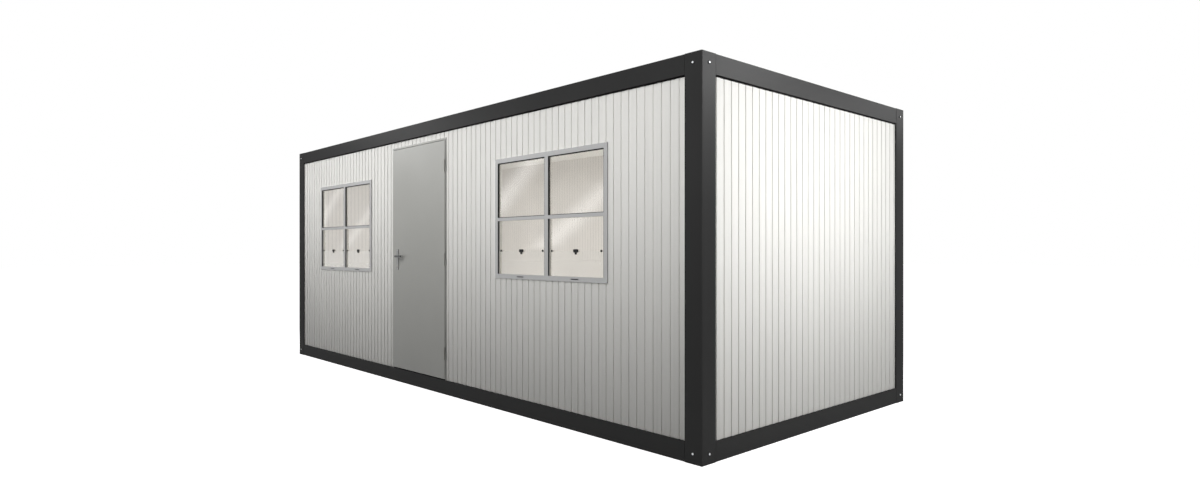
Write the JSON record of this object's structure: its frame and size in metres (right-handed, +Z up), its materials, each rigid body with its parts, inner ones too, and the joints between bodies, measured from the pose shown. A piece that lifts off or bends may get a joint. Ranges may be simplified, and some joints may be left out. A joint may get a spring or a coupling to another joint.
{
  "type": "portable site cabin",
  "caption": "Flat-roofed portable site cabin: dark steel corner posts and beams, ribbed off-white panel walls, an outward-opening grey door and divided windows in front.",
  "frame": {"origin": "centre of the cabin's footprint, on the ground under the post feet", "axes": "+X along the long front wall to the right as seen from outside, the door and windows face -Y, +Z up"},
  "size_m": [6.4, 2.768, 2.5],
  "materials": {
    "frame_steel": "anthracite powder coat, satin",
    "cladding": "off-white coil-coated sheet, satin",
    "lining": "cream lined board, matte",
    "ceiling": "off-white panel, matte",
    "floor_board": "sealed board",
    "galvanised_steel": "galvanised sheet",
    "door_paint": "mid-grey coated steel, satin",
    "handle_metal": "dark satin metal",
    "window_aluminium": "grey anodised extrusion",
    "window_white": "white coated section, satin",
    "gasket": "black rubber",
    "window_glass": "clear float glass",
    "black_plastic": "moulded black plastic"
  },
  "bodies": {
    "root": {"corner_post_front_left": "frame_steel", "corner_post_front_right": "frame_steel", "corner_post_back_left": "frame_steel", "corner_post_back_right": "frame_steel", "floor_beam_front": "frame_steel", "floor_beam_back": "frame_steel", "floor_beam_left": "frame_steel", "floor_beam_right": "frame_steel", "roof_beam_front": "frame_steel", "roof_beam_back": "frame_steel", "roof_beam_left": "frame_steel", "roof_beam_right": "frame_steel", "floor_joists": "galvanised_steel", "underfloor_sheet": "galvanised_steel", "floor_deck": "floor_board", "roof_sheet": "galvanised_steel", "ceiling_panel": "ceiling", "front_wall_left": "lining", "front_wall_over_door": "lining", "front_wall_right": "lining", "back_wall": "lining", "left_end_wall": "lining", "right_end_wall": "lining", "front_cladding_left": "cladding", "front_cladding_over_door": "cladding", "front_cladding_right": "cladding", "back_cladding": "cladding", "left_end_cladding": "cladding", "right_end_cladding": "cladding", "door_frame": "door_paint", "hinge_frame_halves": "door_paint", "window_frame_left": "window_aluminium", "window_frame_right": "window_aluminium", "window_liner_left": "window_white", "window_liner_right": "window_white", "window_gaskets_left": "gasket", "window_gaskets_right": "gasket", "window_glass_left": "window_glass", "window_glass_right": "window_glass", "vent_glass_left": "window_glass", "vent_glass_right": "window_glass", "window_catches": "black_plastic"},
    "door": {"door_leaf": "door_paint", "hinge_leaf_halves": "door_paint", "handle_plates": "handle_metal"},
    "door_lever": {"door_lever_outside": "handle_metal", "door_lever_inside": "handle_metal"}
  },
  "joints": [
    {"name": "door_swing", "type": "hinge", "parent": "root", "child": "door", "pos_m": [0.26, -1.371, 1.2], "axis": [0, 0, 1], "range_deg": [0, 170]},
    {"name": "lever_turn", "type": "hinge", "parent": "door", "child": "door_lever", "pos_m": [-0.627, -1.35, 1.236], "axis": [0, 1, 0], "range_deg": [0, 40], "stiffness_Nm_per_rad": 1.5, "springref_deg": -28.65}
  ]
}
